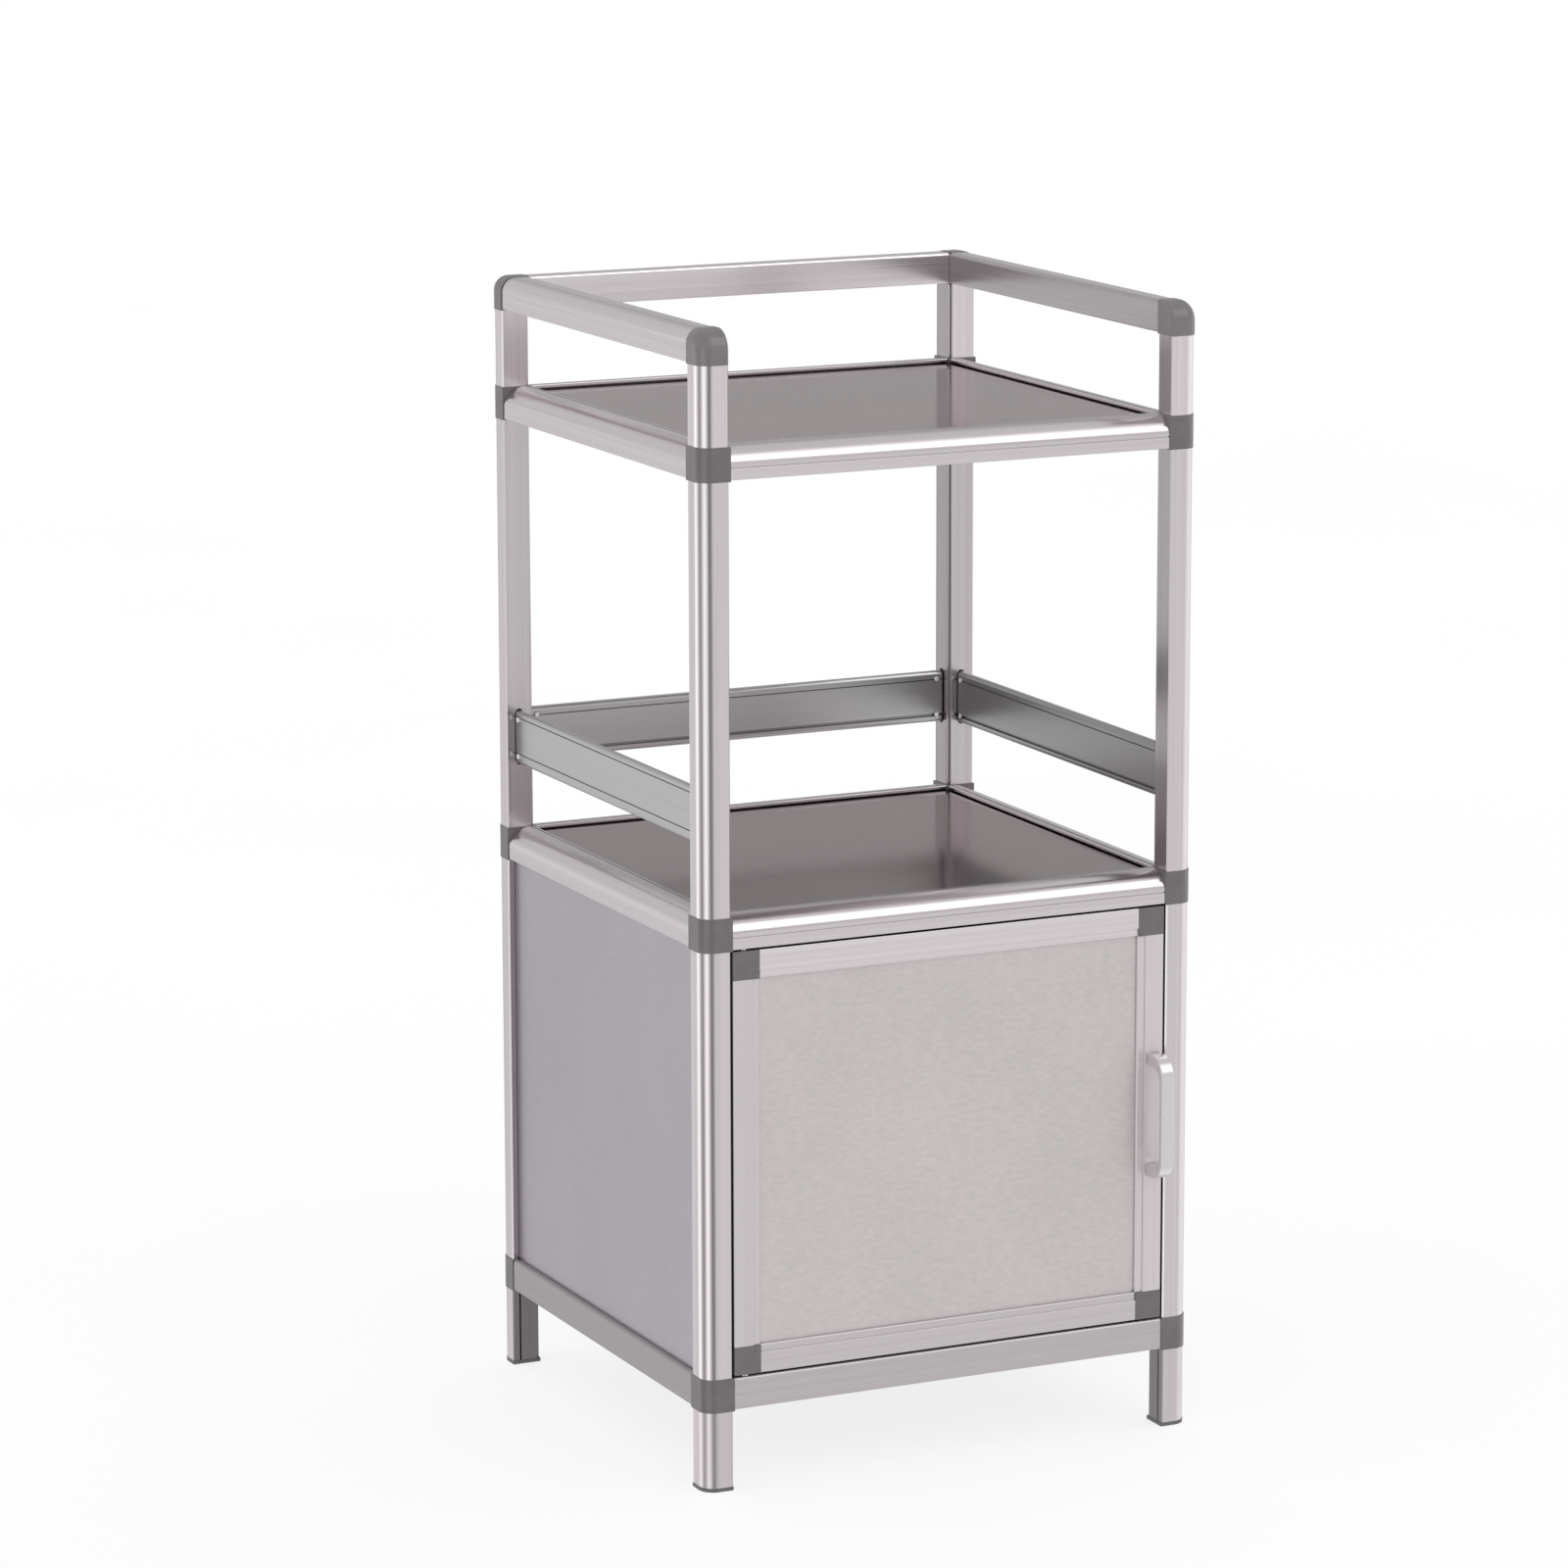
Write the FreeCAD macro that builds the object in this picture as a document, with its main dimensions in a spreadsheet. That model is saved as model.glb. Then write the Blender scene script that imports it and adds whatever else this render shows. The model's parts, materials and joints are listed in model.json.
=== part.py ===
import FreeCAD, Part
import math
import os
from types import SimpleNamespace

import Sketcher

# A free-standing kitchen cabinet with a door below, an open shelf and a railed top tray.
# Extruded posts and rails plug on moulded corner joints, and sheet panels sit in their slots.
# Frame: +Z up, the door faces -Y, the origin is on the floor below the middle of the overall box.

# Driving sizes in millimetres: alias, value, meaning
DRIVING = (
    ("width", 450, "left to right over the posts"),
    ("depth", 430, "front to back over the posts"),
    ("post_side", 25, "side of the post profile, also the depth of a rail"),
    ("post_round", 12.5, "radius of the post's outer corner"),
    ("post_bevel", 1.1, "flat edge on the post's two side corners"),
    ("post_notch", 2.6, "square groove along the post's inner corner"),
    ("edge_round", 0.8, "small radius on the profiles' other corners"),
    ("wall", 1.6, "wall of posts and rails"),
    ("leg_length", 64.5, "post below the base joint"),
    ("lower_post_length", 358, "post beside the door"),
    ("upper_post_length", 355, "post beside the open shelf"),
    ("top_post_length", 65.5, "post that carries the top rail"),
    ("joint_height", 28, "corner joint between two posts"),
    ("joint_proud", 0.8, "how far a joint stands out from the posts"),
    ("joint_lap", 1.4, "how far a shelf or base joint reaches past the post towards its rails"),
    ("cap_height", 28.5, "corner joint on top of a post"),
    ("cap_round", 12.6, "radius of its outer top edge"),
    ("cap_front", 17.5, "radius of a front cap's front top edge"),
    ("cap_edge", 2, "rounding of its free inner edge"),
    ("spigot_length", 18, "reach of a joint's plug in a post or rail"),
    ("spigot_play", 0.2, "clearance of that plug on each side"),
    ("foot_flange", 3, "visible height of the foot cap"),
    ("foot_proud", 0.4, "how far the foot cap stands out from the leg"),
    ("foot_plug", 14, "reach of the foot cap in the leg"),
    ("sheet", 1, "side and back panels"),
    ("slot_inset", 5.8, "outer face to the panel slot"),
    ("slot_play", 0.4, "slot width beyond the sheet in it"),
    ("post_slot", 9, "depth of the panel slot in a post"),
    ("rail_slot", 6, "depth of the panel slot in a rail"),
    ("panel_play", 0.3, "clearance round the edge of a panel"),
    ("rail_height", 27, "every horizontal rail"),
    ("rail_round", 12.5, "outer top edge of a top rail"),
    ("rail_inner_round", 3, "inner top edge of a top rail"),
    ("nose_height", 15.5, "curved front of a shelf rail, down from its top"),
    ("nose_front", 12, "radius of that curve at the front"),
    ("nose_top", 20, "radius of that curve at the top"),
    ("base_round", 3, "outer top edge of a base rail"),
    ("line_height", 9.5, "bottom of a front shelf rail to the line on its face"),
    ("line_width", 1.2, "groove line"),
    ("line_depth", 0.7, "groove line"),
    ("lip", 2.6, "inner lip along the top of a shelf rail"),
    ("shelf_sheet", 1.2, "shelves and cabinet floor"),
    ("shelf_slot", 7, "depth of the shelf's slot in a rail"),
    ("shelf_drop", 4, "rail top to shelf top"),
    ("shelf_play", 1.4, "gap over a shelf in its slot"),
    ("board_rise", 56.5, "lower shelf joint's top to the guard board"),
    ("board_height", 46, "guard board"),
    ("board_inset", 8.2, "post face to the guard board"),
    ("board_thick", 7.4, "guard board"),
    ("board_round", 3.4, "rounding of its long edges"),
    ("board_wall", 2.2, "wall of the hollow board"),
    ("board_foot", 9.5, "board bottom to the lower line on its outer face"),
    ("board_brow", 4.6, "board top to the upper line on its outer face"),
    ("board_bead", 7, "board top to the upper line on its inner face"),
    ("board_line", 0.9, "groove line on its faces"),
    ("board_line_depth", 0.8, "those lines"),
    ("board_slot_rise", 5.2, "board bottom to the slot on its inner face"),
    ("board_slot", 2.7, "that slot"),
    ("board_slot_depth", 1.6, "that slot"),
    ("plug_wall", 0.6, "plate of the plug in a board's end"),
    ("plug_rim", 1.5, "how far that plate stands out above and below the board"),
    ("plug_inset", 1.2, "board face to that plate"),
    ("plug_round", 2, "rounding of its corners"),
    ("plug_reach", 14, "its tongue in the hollow board"),
    ("plug_height", 38, "that tongue"),
    ("rivet", 2.6, "shank diameter of a board rivet"),
    ("rivet_head", 4.4, "diameter of its two heads"),
    ("rivet_dome", 1.5, "height of a head"),
    ("rivet_inset", 7, "post face to the rivets"),
    ("rivet_pitch", 32, "between the two rivets of one end"),
    ("screw_play", 0.1, "radial clearance of a screw or rivet in its hole"),
    ("door_gap", 1.6, "round the door at the hinge side, top and bottom"),
    ("latch_gap", 2.2, "between the door and the post at the handle"),
    ("door_thick", 16, "front to back"),
    ("door_border", 24, "door edge to the panel, and side of a corner block"),
    ("stile_flat", 17.4, "flat part of the door frame"),
    ("bead_inset", 1.1, "step from the flat part down to the bead"),
    ("bead_round", 1.5, "rounding of the bead"),
    ("back_step", 2, "back leg set back from the bead"),
    ("door_wall", 1.5, "wall of the door frame"),
    ("button", 5, "diameter of the raised button on a corner block"),
    ("button_rise", 0.6, "that button"),
    ("button_edge", 0.5, "rounding of its edge"),
    ("door_sheet", 1, "door panel"),
    ("door_panel_inset", 4, "front face to the door panel"),
    ("door_slot", 7, "depth of the panel slot in the frame"),
    ("pin_diameter", 4, "door pivot pin"),
    ("pin_play", 0.05, "radial running clearance of the pin"),
    ("pin_collar", 7, "diameter of the pin's collar"),
    ("pin_reach", 12, "pin inside the door"),
    ("pin_stake", 5, "pin inside the rail"),
    ("pivot_inset", 11, "door edge to the pivot axis"),
    ("pivot_setback", 5, "door face to the pivot axis"),
    ("collar_play", 0.2, "between the collar and the door"),
    ("handle_reach", 26, "door face to the front of the handle"),
    ("handle_height", 106, "pull handle"),
    ("handle_width", 12, "pull handle"),
    ("handle_leg", 10, "height of a leg"),
    ("handle_bar", 4.5, "thickness of the grip"),
    ("handle_round", 18, "outer bend"),
    ("handle_inner_round", 13, "inner bend"),
    ("handle_edge", 0.9, "rounding of the edges"),
    ("handle_screw", 4, "shank diameter"),
    ("handle_screw_head", 7.5, "head diameter"),
    ("handle_screw_dome", 2.4, "head height"),
    ("handle_screw_reach", 9, "screw inside the handle"),
    ("catch_width", 42, "magnetic catch"),
    ("catch_depth", 14, "magnetic catch"),
    ("catch_height", 13, "magnetic catch"),
    ("catch_offset", 28, "right post to the catch"),
    ("catch_play", 0.3, "between the catch and its strike"),
    ("strike_sheet", 1, "strike plate"),
    ("strike_width", 34, "strike plate"),
    ("strike_height", 12, "strike plate"),
)

UP = FreeCAD.Vector(0, 0, 1)
INWARD = FreeCAD.Vector(0, 1, 0)
ALONG = FreeCAD.Vector(1, 0, 0)

doc = FreeCAD.newDocument("kitchen_cabinet")
sheet = doc.addObject("Spreadsheet::Sheet", "dims")
parts = []


class Size:
    """A length in millimetres together with the sheet expression that gives it."""

    def __init__(self, text, value):
        self.text = text
        self.value = value

    def __add__(self, other):
        other = as_size(other)
        return Size(f"({self.text} + {other.text})", self.value + other.value)

    def __sub__(self, other):
        other = as_size(other)
        return Size(f"({self.text} - {other.text})", self.value - other.value)

    def __mul__(self, factor):
        return Size(f"({self.text} * {factor})", self.value * factor)

    def __truediv__(self, divisor):
        return Size(f"({self.text} / {divisor})", self.value / divisor)

    def __neg__(self):
        return Size(f"(0 - {self.text})", -self.value)

    __rmul__ = __mul__


class Nose:
    """A rounding of two arcs that touch: a tight one in front and a wide one on top."""

    def __init__(self, front, top, height):
        self.front, self.top, self.height = front, top, height
        spread = top.value - front.value
        self.lean = math.asin((top.value - height.value) / spread)
        self.depth = front.value + spread * math.cos(self.lean)


def as_size(item):
    return item if isinstance(item, Size) else Size(str(item), float(item))


def fill_sheet():
    """Write the driving sizes to the sheet and give each one back under its alias."""
    sizes = SimpleNamespace()
    for row, (alias, value, meaning) in enumerate(DRIVING, 1):
        sheet.set(f"A{row}", meaning)
        sheet.set(f"B{row}", str(value))
        sheet.setAlias(f"B{row}", alias)
        setattr(sizes, alias, Size(f"dims.{alias}", value))
    doc.recompute()
    return sizes


d = fill_sheet()
ZERO = as_size(0)

# Places worked out from the driving sizes
half_width = d.width / 2
front_y = (d.handle_reach - d.depth - d.joint_proud) / 2
back_y = front_y + d.depth
middle_y = front_y + d.depth / 2
span_x = d.width - 2 * d.post_side
span_y = d.depth - 2 * d.post_side
base_z = d.foot_flange + d.leg_length
lower_z = base_z + d.joint_height + d.lower_post_length
upper_z = lower_z + d.joint_height + d.upper_post_length
top_z = upper_z + d.joint_height + d.top_post_length
rail_lift = d.joint_height - d.rail_height
shelf_lift = rail_lift + d.rail_height - d.shelf_drop - d.shelf_sheet
slot_end = d.slot_inset + d.sheet + d.slot_play
rib = slot_end + d.wall
post_inside = d.post_side - d.wall
post_step = d.post_side - d.post_notch
post_core = post_inside - d.post_notch
spigot_low = rib + d.spigot_play
spigot_high = post_core - d.spigot_play
shelf_channel = d.post_side - d.shelf_slot - d.wall
shelf_floor = d.rail_height - d.shelf_drop - d.shelf_sheet
shelf_roof = d.rail_height - d.shelf_drop + d.shelf_play

shelf_nose = Nose(d.nose_front, d.nose_top, d.nose_height)
board_inner = d.board_inset + d.board_thick

door_x = d.post_side + d.door_gap - half_width
door_z = base_z + rail_lift + d.rail_height + d.door_gap
door_width = span_x - d.door_gap - d.latch_gap
door_height = d.joint_height + d.lower_post_length - d.rail_height - 2 * d.door_gap
door_inside = d.door_border - d.door_slot - d.door_wall
door_back = d.door_thick - d.door_wall
handle_span = d.handle_height - d.handle_leg

TURNS = {"front": 0, "right": 90, "back": 180, "left": 270}
CORNERS = {
    "front_left": (-half_width, front_y, TURNS["front"]),
    "front_right": (half_width, front_y, TURNS["right"]),
    "back_right": (half_width, back_y, TURNS["back"]),
    "back_left": (-half_width, back_y, TURNS["left"]),
}
SPANS = {"front": span_x, "right": span_y, "back": span_x, "left": span_y}


def on_side(side, along, inward):
    """The x and y of a point given by its run along a side's rail and its depth from the outer face."""
    if side == "front":
        return d.post_side - half_width + along, front_y + inward
    if side == "right":
        return half_width - inward, front_y + d.post_side + along
    if side == "back":
        return half_width - d.post_side - along, back_y - inward
    return inward - half_width, back_y - d.post_side - along


def new_body(label):
    body = doc.addObject("PartDesign::Body", label)
    body.Label = label
    return body


def new_sketch(body, role, offset=ZERO):
    """An empty sketch on one of the body's own origin planes, moved along the plane's normal."""
    sketch = body.newObject("Sketcher::SketchObject", "outline")
    plane = next(item for item in body.Origin.OriginFeatures if item.Role == role)
    sketch.AttachmentSupport = (plane, [""])
    sketch.MapMode = "FlatFace"
    sketch.setExpression("AttachmentOffset.Base.z", offset.text)
    return sketch


def hold(sketch, kind, geometry, point, size):
    """Tie a point to its distance from the sketch's origin, or to the axis where that is zero."""
    if size.value == 0:
        axis = -2 if kind == "DistanceX" else -1
        sketch.addConstraint(Sketcher.Constraint("PointOnObject", geometry, point, axis))
        return
    tie = Sketcher.Constraint(kind, -1, 1, geometry, point, size.value)
    number = sketch.addConstraint(tie)
    sketch.setExpression(f"Constraints[{number}]", size.text)


def set_radius(sketch, geometry, radius):
    number = sketch.addConstraint(Sketcher.Constraint("Radius", geometry, radius.value))
    sketch.setExpression(f"Constraints[{number}]", radius.text)


def add_arc(sketch, corner, before, after, radius):
    """Draw the rounding of a right-angled corner; before and after are its two ends."""
    centre = before + after - corner
    first = before
    turns_left = (corner - before).cross(after - corner).z > 0
    if not turns_left:
        first = after
    start = math.atan2(first.y - centre.y, first.x - centre.x)
    circle = Part.Circle(centre, UP, radius.value)
    arc = sketch.addGeometry(Part.ArcOfCircle(circle, start, start + math.pi / 2), False)
    set_radius(sketch, arc, radius)
    return ((arc, 1), (arc, 2)) if turns_left else ((arc, 2), (arc, 1))


def add_nose(sketch, corner, level, nose):
    """Draw a nose from an outline's top line, at the given level, down to its outer line."""
    join = math.pi - nose.lean
    arcs = []
    for radius, inward, down, start, stop in (
        (nose.top, nose.depth, nose.top.value, math.pi / 2, join),
        (nose.front, nose.front.value, nose.height.value, join, math.pi),
    ):
        circle = Part.Circle(corner + FreeCAD.Vector(inward, -down, 0), UP, radius.value)
        arcs.append(sketch.addGeometry(Part.ArcOfCircle(circle, start, stop), False))
        set_radius(sketch, arcs[-1], radius)
    upper, lower = arcs
    sketch.addConstraint(Sketcher.Constraint("Tangent", upper, 2, lower, 1))
    hold(sketch, "DistanceY", lower, 2, level - nose.height)
    return (upper, 1), (lower, 2)


def cut_back(item, upright):
    """How far the rounding of a corner shortens the upright or the level line at it."""
    if isinstance(item, Nose):
        return item.height.value if upright else item.depth
    return item.value if item else 0


def add_outline(sketch, steps, rounds=None):
    """Draw a closed outline of upright and level lines: steps holds u, v, u, v ... in turn.

    Corner i lies where line i meets the next one, and rounds gives some corners a radius or a nose.
    """
    rounds = rounds or {}
    steps = [as_size(step) for step in steps]
    count = len(steps)
    corners = []
    for i in range(count):
        pair = (steps[i], steps[(i + 1) % count])
        u, v = pair if i % 2 == 0 else pair[::-1]
        corners.append(FreeCAD.Vector(u.value, v.value, 0))
    starts, ends = [], []
    for i in range(count):
        run = corners[i] - corners[i - 1]
        run.normalize()
        upright = i % 2 == 0
        lead = cut_back(rounds.get((i - 1) % count), upright)
        trail = cut_back(rounds.get(i), upright)
        starts.append(corners[i - 1] + run * lead)
        ends.append(corners[i] - run * trail)
    lines = [
        sketch.addGeometry(Part.LineSegment(starts[i], ends[i]), False) for i in range(count)
    ]
    for i, line in enumerate(lines):
        upright = i % 2 == 0
        sketch.addConstraint(Sketcher.Constraint("Vertical" if upright else "Horizontal", line))
        hold(sketch, "DistanceX" if upright else "DistanceY", line, 1, steps[i])
    for i, line in enumerate(lines):
        following = lines[(i + 1) % count]
        if i not in rounds:
            sketch.addConstraint(Sketcher.Constraint("Coincident", line, 2, following, 1))
            continue
        if isinstance(rounds[i], Nose):
            enter, leave = add_nose(sketch, corners[i], steps[i], rounds[i])
        else:
            after = starts[(i + 1) % count]
            enter, leave = add_arc(sketch, corners[i], ends[i], after, rounds[i])
        sketch.addConstraint(Sketcher.Constraint("Tangent", line, 2, *enter))
        sketch.addConstraint(Sketcher.Constraint("Tangent", *leave, following, 1))


def add_circle(sketch, u, v, radius):
    u, v = as_size(u), as_size(v)
    circle = Part.Circle(FreeCAD.Vector(u.value, v.value, 0), UP, radius.value)
    geometry = sketch.addGeometry(circle, False)
    set_radius(sketch, geometry, radius)
    hold(sketch, "DistanceX", geometry, 3, u)
    hold(sketch, "DistanceY", geometry, 3, v)


def pad(body, sketch, length, backwards=False):
    feature = body.newObject("PartDesign::Pad", "pad")
    feature.Profile = sketch
    feature.setExpression("Length", length.text)
    feature.Reversed = backwards
    return feature


def bore(body, sketch, depth, backwards=False):
    """Cut the sketch's circles into the body, and check that they met material."""
    doc.recompute()
    before = body.Shape.Volume
    feature = body.newObject("PartDesign::Pocket", "bore")
    feature.Profile = sketch
    feature.setExpression("Length", depth.text)
    feature.Reversed = backwards
    doc.recompute()
    if body.Shape.Volume >= before:
        raise RuntimeError(f"{body.Label}: a bore misses the solid")


def edges_where(base, edge_test):
    """The names of the base feature's edges whose middle point passes the test."""
    doc.recompute()
    names = []
    for number, edge in enumerate(base.Shape.Edges, 1):
        middle = edge.valueAt((edge.FirstParameter + edge.LastParameter) / 2)
        if edge_test(middle):
            names.append(f"Edge{number}")
    return names


def rounding(body, base, edge_test, radius):
    names = edges_where(base, edge_test)
    feature = body.newObject("PartDesign::Fillet", "rounding")
    feature.Base = (base, names)
    feature.setExpression("Radius", radius.text)
    return feature


def bevel(body, base, edge_test, size):
    names = edges_where(base, edge_test)
    feature = body.newObject("PartDesign::Chamfer", "bevel")
    feature.Base = (base, names)
    feature.setExpression("Size", size.text)


def place(item, x, y, z, turn=0, tilt=None):
    """Set an item in the cabinet's frame, turned about the vertical after any tilt."""
    turned = FreeCAD.Rotation(UP, turn)
    rotation = turned * tilt if tilt else turned
    item.Placement = FreeCAD.Placement(FreeCAD.Vector(x.value, y.value, z.value), rotation)
    for name, size in zip("xyz", (x, y, z)):
        item.setExpression(f"Placement.Base.{name}", size.text)


def keep(item):
    parts.append(item)


def keep_group(label, items):
    """One node of several like solids."""
    group = doc.addObject("Part::Compound", label)
    group.Label = label
    group.Links = items
    keep(group)


# Posts and legs

def post(label, length, slotted):
    """A length of the corner profile, with its panel slots or with plain inner faces."""
    side = d.post_side
    body = new_body(label)
    sketch = new_sketch(body, "XY_Plane")
    deep = side - d.post_slot
    channel = deep - d.wall
    steps, hollow = [0, 0, side], [d.wall, d.wall]
    if slotted:
        steps += [d.slot_inset, deep, slot_end, side]
        hollow += [channel, rib]
    notch = len(steps) - 1
    steps += [post_step, post_step, side]
    hollow += [post_inside, post_core, post_core, post_inside]
    if slotted:
        steps += [slot_end, deep, d.slot_inset, side]
        hollow += [rib, channel]
    add_outline(sketch, steps, {0: d.post_round, notch: d.edge_round, notch + 2: d.edge_round})
    add_outline(sketch, hollow, {0: d.post_round - d.wall})
    bar = pad(body, sketch, length)
    near = d.edge_round.value
    bevel(body, bar, lambda p: max(p.x, p.y) > side.value - near and min(p.x, p.y) < near, d.post_bevel)
    return body


def posts(prefix, length, z, slotted):
    bodies = []
    for corner, (x, y, turn) in CORNERS.items():
        body = post(f"{prefix}_{corner}", length, slotted)
        place(body, x, y, z, turn)
        bodies.append(body)
    return bodies


# Corner joints

def plug(body, z, length):
    """A square plug that fills the hollow of a post."""
    sketch = new_sketch(body, "XY_Plane", z)
    add_outline(sketch, [spigot_low, spigot_low, spigot_high, spigot_high])
    pad(body, sketch, length)


def corner_block(body, end, height):
    """The block of a corner with two arms, up to the given height."""
    sketch = new_sketch(body, "XY_Plane")
    out = -d.joint_proud
    add_outline(sketch, [out, out, end, end], {0: d.post_round + d.joint_proud})
    return pad(body, sketch, height)


def front_cap(body, arm):
    """The domed block of a top corner that carries one rail and ends that rail at the front."""
    end, height = d.post_side, d.cap_height
    free, run = (0, 1) if arm == "y" else (1, 0)
    if arm == "y":
        sketch = new_sketch(body, "YZ_Plane", -d.joint_proud)
    else:
        sketch = new_sketch(body, "XZ_Plane", d.joint_proud)
    add_outline(sketch, [-d.joint_proud, 0, end, height], {3: d.cap_front})
    block = pad(body, sketch, end + d.joint_proud, backwards=arm == "x")
    near, inner = d.edge_round.value, d.post_side.value - d.edge_round.value

    def ahead(p):
        return p.z > near and p[run] < inner

    dome = rounding(body, block, lambda p: ahead(p) and p[free] < 0, d.cap_round)
    rounding(body, dome, lambda p: ahead(p) and p[free] > inner, d.cap_edge)


def joint(label, arms, height, cap=False):
    """A moulded corner: its block, the plugs for the posts and the plugs for the named rails."""
    body = new_body(label)
    end = d.post_side if cap else d.post_side + d.joint_lap
    if len(arms) == 1:
        front_cap(body, *arms)
    else:
        block = corner_block(body, end, height)
        if cap:
            inner = d.post_side.value - d.edge_round.value
            top = height.value - d.edge_round.value
            rounding(body, block, lambda p: p.z > top and max(p.x, p.y) < inner, d.cap_round)
    below = height / 2 + d.spigot_length
    plug(body, -d.spigot_length, below if cap else below + height / 2 + d.spigot_length)
    inner_side = shelf_channel - d.spigot_play
    bottom = rail_lift + d.wall + d.spigot_play
    roof = rail_lift + d.rail_height - d.rail_round
    reach = end - d.post_round + d.spigot_length
    if "x" in arms:
        sketch = new_sketch(body, "YZ_Plane", d.post_round)
        add_outline(sketch, [spigot_low, bottom, inner_side, roof])
        pad(body, sketch, reach)
    if "y" in arms:
        sketch = new_sketch(body, "XZ_Plane", -d.post_round)
        add_outline(sketch, [spigot_low, bottom, inner_side, roof])
        pad(body, sketch, reach, backwards=True)
    return body


def joints(prefix, z):
    bodies = []
    for corner, (x, y, turn) in CORNERS.items():
        body = joint(f"{prefix}_{corner}", ("x", "y"), d.joint_height)
        place(body, x, y, z, turn)
        bodies.append(body)
    return bodies


def top_joints():
    """The top rail leaves the front open, so each front cap has one arm."""
    arms = {"front_left": ("y",), "front_right": ("x",)}
    for pair in ("front", "back"):
        bodies = []
        for side in ("left", "right"):
            corner = f"{pair}_{side}"
            x, y, turn = CORNERS[corner]
            body = joint(f"top_joint_{corner}", arms.get(corner, ("x", "y")), d.cap_height, cap=True)
            place(body, x, y, top_z, turn)
            bodies.append(body)
        keep_group(f"top_{pair}_joints", bodies)


def foot_caps():
    bodies = []
    for corner, (x, y, turn) in CORNERS.items():
        body = new_body(f"foot_cap_{corner}")
        sketch = new_sketch(body, "XY_Plane")
        low, high = -d.foot_proud, d.post_side + d.foot_proud
        rounds = {i: d.edge_round for i in (1, 2, 3)}
        add_outline(sketch, [low, low, high, high], {**rounds, 0: d.post_round + d.foot_proud})
        pad(body, sketch, d.foot_flange)
        plug(body, d.foot_flange / 2, d.foot_flange / 2 + d.foot_plug)
        place(body, x, y, ZERO, turn)
        bodies.append(body)
    keep_group("foot_caps", bodies)


# Rails

def rail(label, side, z, nose, shelf=True, panel_above=False, panel_below=False, lined=False):
    """One rail: u runs inward from its outer face and v upward from its bottom."""
    top, deep = d.rail_height, d.post_side
    steps = [0, 0]
    hollow = [d.wall]
    if panel_below:
        steps += [d.slot_inset, d.rail_slot, slot_end, 0]
        hollow += [d.rail_slot + d.wall, rib]
    hollow += [d.wall, post_inside]
    rounds = {0: d.edge_round, len(steps) - 1: d.edge_round}
    steps += [deep]
    if shelf:
        steps += [shelf_floor, deep - d.shelf_slot, shelf_roof, deep]
        hollow += [shelf_floor - d.wall]
    if not lined:
        hollow += [shelf_channel, top - d.wall] if shelf else [top - d.wall]
    steps += [top]
    rounds[len(steps) - 2] = d.edge_round if shelf else d.rail_inner_round
    if panel_above:
        steps += [slot_end, top - d.rail_slot, d.slot_inset, top]
        hollow += [rib, top - d.rail_slot - d.wall]
    if lined:
        inner = deep - d.lip
        steps += [inner, top - d.line_depth, inner - d.line_width, top]
    rounds[len(steps) - 1] = nose
    if lined and side == "front":
        steps += [0, d.line_height + d.line_width, d.line_depth, d.line_height]
    body = new_body(label)
    sketch = new_sketch(body, "YZ_Plane")
    add_outline(sketch, steps, rounds)
    hollow_rounds = {}
    if not panel_above:
        hollow_rounds[len(hollow) - 1] = (nose.front if lined else nose) - d.wall
    add_outline(sketch, hollow, hollow_rounds)
    lap = d.joint_lap if shelf else ZERO
    pad(body, sketch, SPANS[side] - 2 * lap)
    x, y = on_side(side, lap, ZERO)
    place(body, x, y, z + rail_lift, TURNS[side])
    keep(body)
    return body


def pin_hole(body, z, depth):
    """A hole for the door's pivot pin, cut upward from the given height of a front rail."""
    sketch = new_sketch(body, "XY_Plane", z)
    radius = d.pin_diameter / 2 + d.pin_play
    add_circle(sketch, d.door_gap + d.pivot_inset - d.joint_lap, d.pivot_setback, radius)
    bore(body, sketch, depth, backwards=True)


def rails():
    for side in SPANS:
        closed = side != "front"
        base = rail(f"base_rail_{side}", side, base_z, d.base_round, panel_above=closed)
        nose = shelf_nose
        lower = rail(f"lower_shelf_rail_{side}", side, lower_z, nose, panel_below=closed, lined=True)
        rail(f"upper_shelf_rail_{side}", side, upper_z, nose, lined=True)
        if closed:
            rail(f"top_rail_{side}", side, top_z, d.rail_round, shelf=False)
        else:
            pin_hole(base, d.rail_height - d.wall, d.wall)
            pin_hole(lower, ZERO, d.wall)


# Panels and shelves

def cross_plate(label, role, inner, outer, thickness, backwards=False):
    """A plate with notched corners: inner and outer are its half sizes across u and v."""
    u_in, v_in = inner
    u_out, v_out = outer
    body = new_body(label)
    sketch = new_sketch(body, role)
    steps = [-u_out, -v_in, -u_in, -v_out, u_in, -v_in, u_out, v_in, u_in, v_out, -u_in, v_in]
    add_outline(sketch, steps)
    pad(body, sketch, thickness, backwards)
    keep(body)
    return body


def shelf(label, level):
    """A shelf sheet whose edges lie in the slots of the four rails round it."""
    inset = d.joint_lap + d.panel_play
    inner = (span_x / 2 - inset, span_y / 2 - inset)
    outer = (span_x / 2 + d.shelf_slot - d.panel_play, span_y / 2 + d.shelf_slot - d.panel_play)
    body = cross_plate(label, "XY_Plane", inner, outer, d.shelf_sheet)
    place(body, ZERO, middle_y, level + shelf_lift)


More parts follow.
